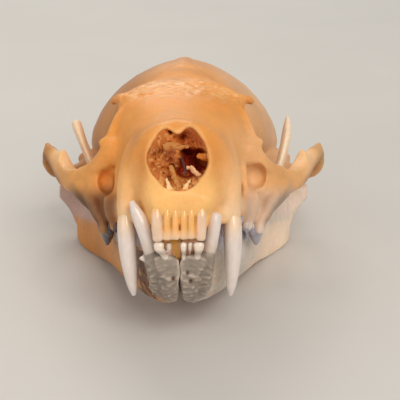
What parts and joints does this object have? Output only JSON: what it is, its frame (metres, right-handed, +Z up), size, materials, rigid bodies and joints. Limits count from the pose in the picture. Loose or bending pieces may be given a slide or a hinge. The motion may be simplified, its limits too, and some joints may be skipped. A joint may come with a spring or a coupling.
{
  "type": "mink skull",
  "caption": "Life-size mink skull with its lower jaw closed, long canine teeth, open cheek arches and a heart-shaped nose opening, resting on the jaw and the ear capsules.",
  "frame": {"origin": "middle of the footprint on the surface that the skull rests on", "axes": "+Z up, -Y towards the front teeth, +X towards the animal's own left; the nose is tipped up as it rests"},
  "size_m": [0.04, 0.0664, 0.0256],
  "materials": {
    "cranium_bone": "dry bone, warm honey colour, satin",
    "arch_bone": "dry bone, satin",
    "jaw_bone": "dry bone, paler, rough at the chin",
    "tooth_enamel": "tooth enamel, glossy"
  },
  "bodies": {
    "root": {"cranium": "cranium_bone", "zygomatic_arch_left": "arch_bone", "zygomatic_arch_right": "arch_bone", "mandible_left": "jaw_bone", "mandible_right": "jaw_bone", "upper_canine_left": "tooth_enamel", "upper_canine_right": "tooth_enamel", "lower_canine_left": "tooth_enamel", "lower_canine_right": "tooth_enamel"}
  },
  "joints": []
}
